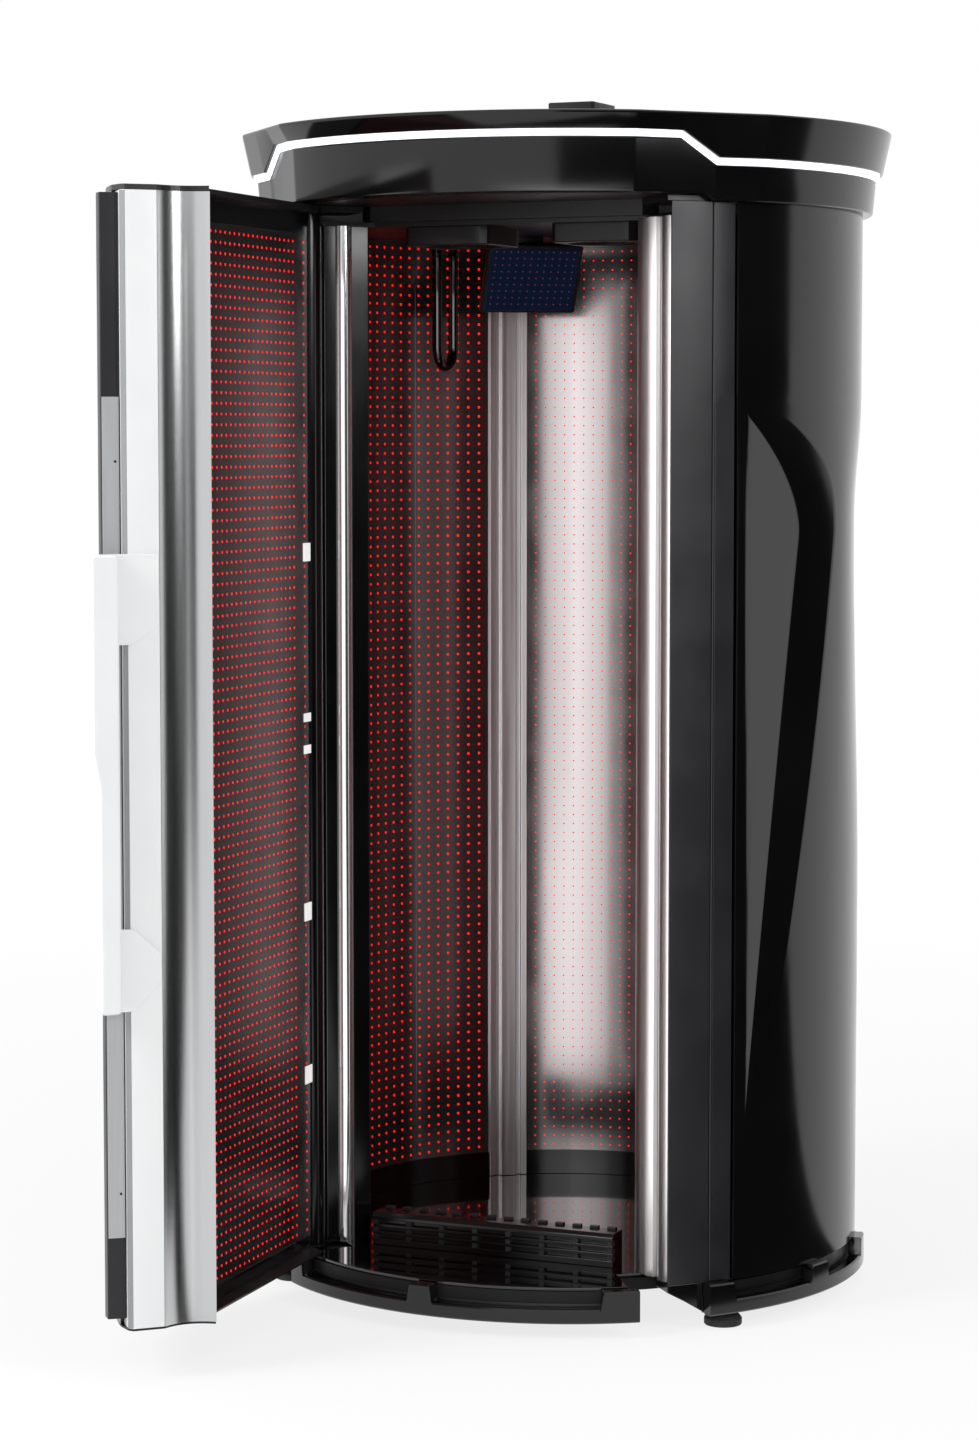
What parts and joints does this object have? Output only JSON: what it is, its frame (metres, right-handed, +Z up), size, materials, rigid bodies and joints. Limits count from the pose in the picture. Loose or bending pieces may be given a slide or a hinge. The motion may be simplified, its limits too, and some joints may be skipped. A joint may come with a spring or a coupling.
{
  "type": "red light therapy cabin",
  "caption": "Stand-up red light therapy cabin: round black body, red light panels inside, lit roof cap, and a thick hinged door standing open.",
  "frame": {"origin": "centre of the underside of the middle foot, on the ground at the cabin's vertical axis", "axes": "+Z up, -Y towards the front where the door opening is, +X to the right seen from the front"},
  "size_m": [1.24, 1.8086, 2.2603],
  "materials": {
    "gloss_black_shell": "high gloss black",
    "satin_black_plastic": "satin black",
    "graphite_trim": "semi-gloss dark grey",
    "dark_anodised_metal": "black anodised",
    "gloss_black_floor": "mirror gloss black",
    "polished_aluminium": "polished",
    "dark_red_acrylic": "dark tinted acrylic, red light dots behind it",
    "circuit_board": "matte",
    "white_gloss": "satin white",
    "silver_insert": "satin silver grey",
    "light_diffuser": "white lit diffuser",
    "screen_glass": "dark blue glass",
    "rubber_foot": "matte black"
  },
  "bodies": {
    "cabin": {"skin_left": "gloss_black_shell", "skin_right": "gloss_black_shell", "rear_cover": "gloss_black_shell", "cap_lower_ring": "gloss_black_shell", "cap_upper_ring": "gloss_black_shell", "base_skirt": "satin_black_plastic", "front_bumper": "satin_black_plastic", "door_sill": "satin_black_plastic", "latch_post": "satin_black_plastic", "hinge_post": "satin_black_plastic", "ceiling_panel": "satin_black_plastic", "front_lintel": "satin_black_plastic", "roof_deck": "satin_black_plastic", "roof_box": "satin_black_plastic", "cable_gland": "satin_black_plastic", "right_cover_inner": "graphite_trim", "right_cover_outer": "graphite_trim", "left_cover_inner": "graphite_trim", "left_cover_outer": "graphite_trim", "fan_frame_left": "graphite_trim", "fan_frame_right": "graphite_trim", "base_pan": "dark_anodised_metal", "screen_bracket": "dark_anodised_metal", "pivot_bottom": "dark_anodised_metal", "pivot_top": "dark_anodised_metal", "floor_plate": "gloss_black_floor", "grab_handle_left": "gloss_black_floor", "grab_handle_right": "gloss_black_floor", "rear_post_left": "polished_aluminium", "rear_post_right": "polished_aluminium", "latch_column": "polished_aluminium", "hinge_column": "polished_aluminium", "led_panel_left": "dark_red_acrylic", "led_panel_back": "dark_red_acrylic", "led_panel_right": "dark_red_acrylic", "led_board_left": "circuit_board", "led_board_back": "circuit_board", "led_board_right": "circuit_board", "cap_light_strip": "light_diffuser", "foot_front_left": "rubber_foot", "foot_front_right": "rubber_foot", "foot_rear_left": "rubber_foot", "foot_rear_right": "rubber_foot", "foot_centre": "rubber_foot"},
    "door": {"door_shell": "gloss_black_shell", "door_led_panel": "dark_red_acrylic", "door_led_board": "circuit_board", "door_edge": "white_gloss", "door_cove": "polished_aluminium", "door_hinge_stile": "satin_black_plastic", "door_cap_top": "satin_black_plastic", "door_cap_bottom": "satin_black_plastic", "door_trim": "graphite_trim", "trim_insert": "silver_insert", "handle": "white_gloss"},
    "screen": {"screen_housing": "satin_black_plastic", "screen_glass": "screen_glass"},
    "left_rotor": {"fan_rotor_left": "satin_black_plastic"},
    "right_rotor": {"fan_rotor_right": "satin_black_plastic"}
  },
  "joints": [
    {"name": "door_hinge", "type": "hinge", "parent": "cabin", "child": "door", "pos_m": [-0.3616, -0.39035, 0.1], "axis": [0, 0, 1], "range_deg": [-20, 85.4]},
    {"name": "screen_tilt", "type": "hinge", "parent": "cabin", "child": "screen", "pos_m": [-0.1585, 0.2036, 1.998], "axis": [0.788, 0.6157, 0], "range_deg": [-28, 25]},
    {"name": "left_fan_spin", "type": "hinge", "parent": "cabin", "child": "left_rotor", "pos_m": [-0.15, -0.15, 2], "axis": [0, 0, 1], "continuous": true},
    {"name": "right_fan_spin", "type": "hinge", "parent": "cabin", "child": "right_rotor", "pos_m": [0.15, -0.15, 2], "axis": [0, 0, 1], "continuous": true}
  ]
}
